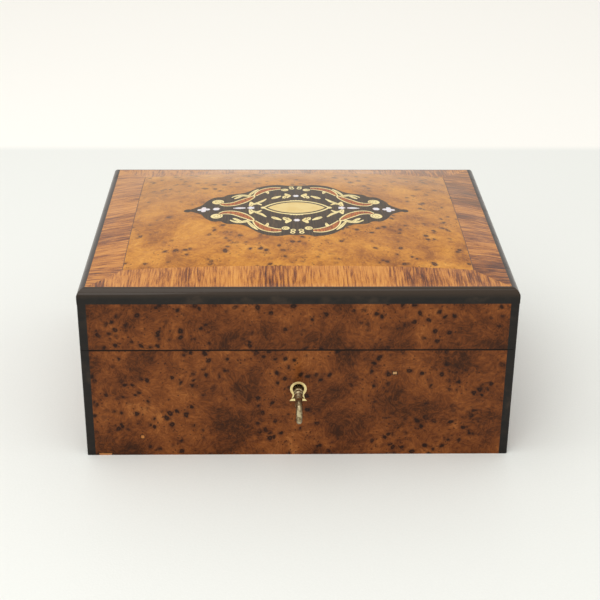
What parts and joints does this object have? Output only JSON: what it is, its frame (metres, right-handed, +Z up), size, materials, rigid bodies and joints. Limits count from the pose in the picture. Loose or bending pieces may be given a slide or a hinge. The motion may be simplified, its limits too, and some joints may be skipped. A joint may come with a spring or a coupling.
{
  "type": "desk letter box",
  "caption": "Rectangular wooden letter box with a pillow-shaped hinged lid, ebonised mouldings, burl veneer, an inlaid cartouche, and a box lock with its key in place.",
  "frame": {"origin": "on the flat underside, under the middle of the box", "axes": "+X along the front to the viewer's right, +Y from the front to the back, +Z up"},
  "size_m": [0.3, 0.2831, 0.1418],
  "materials": {
    "brass": "polished, lightly tarnished",
    "key_metal": "worn bright",
    "steel": "oiled",
    "ebonised": "ebonised and French polished",
    "dark_ground": "dark stained ground, polished",
    "pearl": "mother-of-pearl, polished",
    "redwood": "red-brown wood, French polished",
    "crossband": "cross-cut rosewood band, French polished",
    "field_burl": "golden burl veneer, French polished",
    "side_burl": "red-brown burl veneer, French polished",
    "lining": "plain lining paper on thin board",
    "lipping": "polished rosewood",
    "carcase": "plain sawn wood"
  },
  "bodies": {
    "case": {"case_front_board": "carcase", "case_back_board": "carcase", "case_left_board": "carcase", "case_right_board": "carcase", "case_bottom_board": "carcase", "case_front_veneer": "side_burl", "case_back_veneer": "side_burl", "case_left_veneer": "side_burl", "case_right_veneer": "side_burl", "case_corner_fillets": "ebonised", "case_rim_lipping": "lipping", "case_lining": "lining", "case_floor_panel": "lining", "keyhole_escutcheon": "brass", "lock_plate": "brass", "lock_cap": "brass", "lock_key_post": "steel", "lock_guide_studs": "steel", "lock_spring": "steel", "lock_screws": "brass", "hinge_case_leaves": "brass", "hinge_pins": "brass", "hinge_case_screws": "brass"},
    "lid": {"hinge_lid_leaves": "brass", "hinge_lid_screws": "brass", "lid_front_rail": "carcase", "lid_back_rail": "carcase", "lid_left_rail": "carcase", "lid_right_rail": "carcase", "lid_top_board": "carcase", "lid_front_veneer": "side_burl", "lid_back_veneer": "side_burl", "lid_left_veneer": "side_burl", "lid_right_veneer": "side_burl", "lid_field_veneer": "field_burl", "lid_crossband_front": "crossband", "lid_crossband_back": "crossband", "lid_crossband_left": "crossband", "lid_crossband_right": "crossband", "lid_moulding_front": "ebonised", "lid_moulding_back": "ebonised", "lid_moulding_left": "ebonised", "lid_moulding_right": "ebonised", "lid_corner_fillets": "ebonised", "lid_rim_lipping": "lipping", "lid_lining": "lining", "lid_inner_panel": "lining", "link_plate": "brass", "link_plate_screws": "brass", "cartouche_ground": "dark_ground", "cartouche_plaque": "brass", "cartouche_brass": "brass", "cartouche_pearl": "pearl", "cartouche_redwood": "redwood"},
    "bolt": {"lock_bolt": "brass"},
    "key": {"key_shank": "key_metal", "key_bow": "key_metal"}
  },
  "joints": [
    {"name": "lid_hinge", "type": "hinge", "parent": "case", "child": "lid", "pos_m": [0, 0.1221, 0.08415], "axis": [-1, 0, 0], "range_deg": [0, 100]},
    {"name": "key_turn", "type": "hinge", "parent": "case", "child": "key", "pos_m": [0, -0.12, 0.0535], "axis": [0, 1, 0], "range_deg": [0, 360]},
    {"name": "bolt_slide", "type": "slide", "parent": "case", "child": "bolt", "axis": [1, 0, 0], "range_m": [0, 0.005]}
  ],
  "couplings": [
    {"joint": "key_turn", "follows": "bolt_slide", "rad_per_m": 1256.6}
  ]
}
